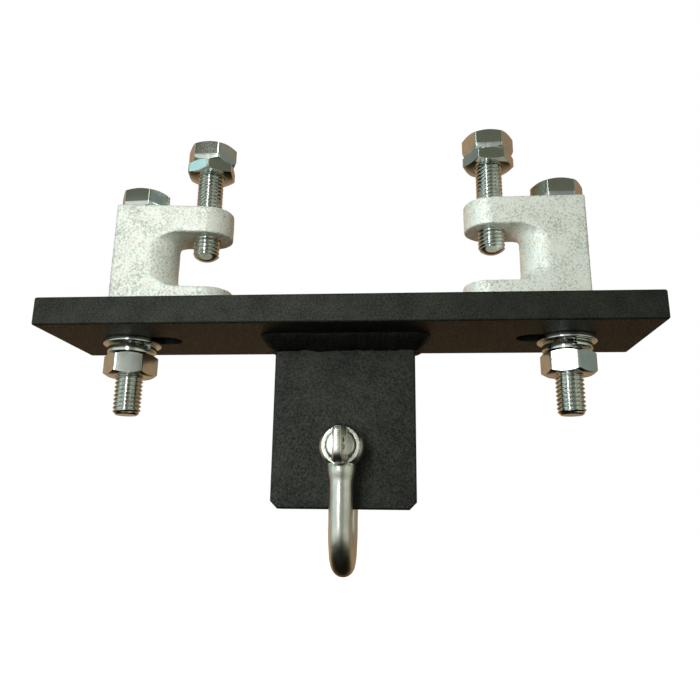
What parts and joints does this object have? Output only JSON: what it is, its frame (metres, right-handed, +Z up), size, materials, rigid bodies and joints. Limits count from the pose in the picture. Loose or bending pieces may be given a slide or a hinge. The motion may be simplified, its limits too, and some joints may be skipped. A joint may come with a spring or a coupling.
{
  "type": "beam clamp",
  "caption": "Twin-jaw beam clamp: a flat spreader plate with sliding cast jaws and set screws for a beam's flange, and a D shackle on a welded lug underneath.",
  "frame": {"origin": "on the middle plane of the spreader plate and its lug, in the plane where the underside of the beam's flange bears on the lower jaws", "axes": "+X along the spreader plate to the right-hand clamp, +Y towards the back, away from the shackle pin's thumb tab, +Z up towards the beam"},
  "size_m": [0.214, 0.0531, 0.1616],
  "materials": {
    "powder_coat": "fine textured satin black powder coat",
    "galvanised_cast_iron": "zinc-plated malleable iron, pebbled as cast",
    "zinc_fastener": "bright zinc plate, satin",
    "bright_zinc": "bright zinc plate, smooth forged"
  },
  "bodies": {
    "spreader": {"spreader_plate": "powder_coat", "hanging_lug": "powder_coat", "front_weld_bead": "powder_coat", "back_weld_bead": "powder_coat"},
    "shackle": {"shackle_bow": "bright_zinc"},
    "pin": {"shackle_pin": "bright_zinc"},
    "left_bolt": {"left_fixing_bolt": "zinc_fastener"},
    "left_casting": {"left_clamp_casting": "galvanised_cast_iron"},
    "left_screw_feed": {"left_lock_nut": "zinc_fastener"},
    "left_screw": {"left_set_screw": "zinc_fastener"},
    "left_washers": {"left_flat_washer": "zinc_fastener", "left_spring_washer": "zinc_fastener"},
    "left_nut": {"left_fixing_nut": "zinc_fastener"},
    "right_bolt": {"right_fixing_bolt": "zinc_fastener"},
    "right_casting": {"right_clamp_casting": "galvanised_cast_iron"},
    "right_screw_feed": {"right_lock_nut": "zinc_fastener"},
    "right_screw": {"right_set_screw": "zinc_fastener"},
    "right_washers": {"right_flat_washer": "zinc_fastener", "right_spring_washer": "zinc_fastener"},
    "right_nut": {"right_fixing_nut": "zinc_fastener"}
  },
  "joints": [
    {"name": "shackle_swing", "type": "hinge", "parent": "spreader", "child": "shackle", "pos_m": [0, 0, -0.0587], "axis": [0, 1, 0], "range_deg": [-120, 120]},
    {"name": "shackle_pin_withdraw", "type": "slide", "parent": "shackle", "child": "pin", "axis": [0, -1, 0], "range_m": [0, 0.033]},
    {"name": "left_slot_slide", "type": "slide", "parent": "spreader", "child": "left_bolt", "axis": [1, 0, 0], "range_m": [-0.0022, 0.013]},
    {"name": "left_clamp_swivel", "type": "hinge", "parent": "left_bolt", "child": "left_casting", "pos_m": [-0.08, 0, 0.0116], "axis": [0, 0, 1], "range_deg": [-180, 180]},
    {"name": "left_set_screw_feed", "type": "slide", "parent": "left_casting", "child": "left_screw_feed", "axis": [0, 0, 1], "range_m": [-0.012, 0.00825]},
    {"name": "left_set_screw_turn", "type": "hinge", "parent": "left_screw_feed", "child": "left_screw", "pos_m": [-0.05514, 0.00261, 0.033], "axis": [0, 0, 1], "range_deg": [-2890, 1990]},
    {"name": "left_fixing_nut_feed", "type": "slide", "parent": "left_bolt", "child": "left_washers", "axis": [0, 0, 1], "range_m": [-0.0135, 0]},
    {"name": "left_fixing_nut_turn", "type": "hinge", "parent": "left_washers", "child": "left_nut", "pos_m": [-0.08, 0, -0.0286], "axis": [0, 0, 1], "range_deg": [-3250, 5]},
    {"name": "right_slot_slide", "type": "slide", "parent": "spreader", "child": "right_bolt", "axis": [-1, 0, 0], "range_m": [-0.0032, 0.012]},
    {"name": "right_clamp_swivel", "type": "hinge", "parent": "right_bolt", "child": "right_casting", "pos_m": [0.079, 0, 0.0116], "axis": [0, 0, 1], "range_deg": [-180, 180]},
    {"name": "right_set_screw_feed", "type": "slide", "parent": "right_casting", "child": "right_screw_feed", "axis": [0, 0, 1], "range_m": [-0.012, 0.00825]},
    {"name": "right_set_screw_turn", "type": "hinge", "parent": "right_screw_feed", "child": "right_screw", "pos_m": [0.054, 0, 0.033], "axis": [0, 0, 1], "range_deg": [-2890, 1990]},
    {"name": "right_fixing_nut_feed", "type": "slide", "parent": "right_bolt", "child": "right_washers", "axis": [0, 0, 1], "range_m": [-0.0135, 0]},
    {"name": "right_fixing_nut_turn", "type": "hinge", "parent": "right_washers", "child": "right_nut", "pos_m": [0.079, 0, -0.0286], "axis": [0, 0, 1], "range_deg": [-3250, 5]}
  ],
  "couplings": [
    {"joint": "left_set_screw_turn", "follows": "left_set_screw_feed", "rad_per_m": 4188.8},
    {"joint": "left_fixing_nut_turn", "follows": "left_fixing_nut_feed", "rad_per_m": 4188.8},
    {"joint": "right_set_screw_turn", "follows": "right_set_screw_feed", "rad_per_m": 4188.8},
    {"joint": "right_fixing_nut_turn", "follows": "right_fixing_nut_feed", "rad_per_m": 4188.8}
  ]
}
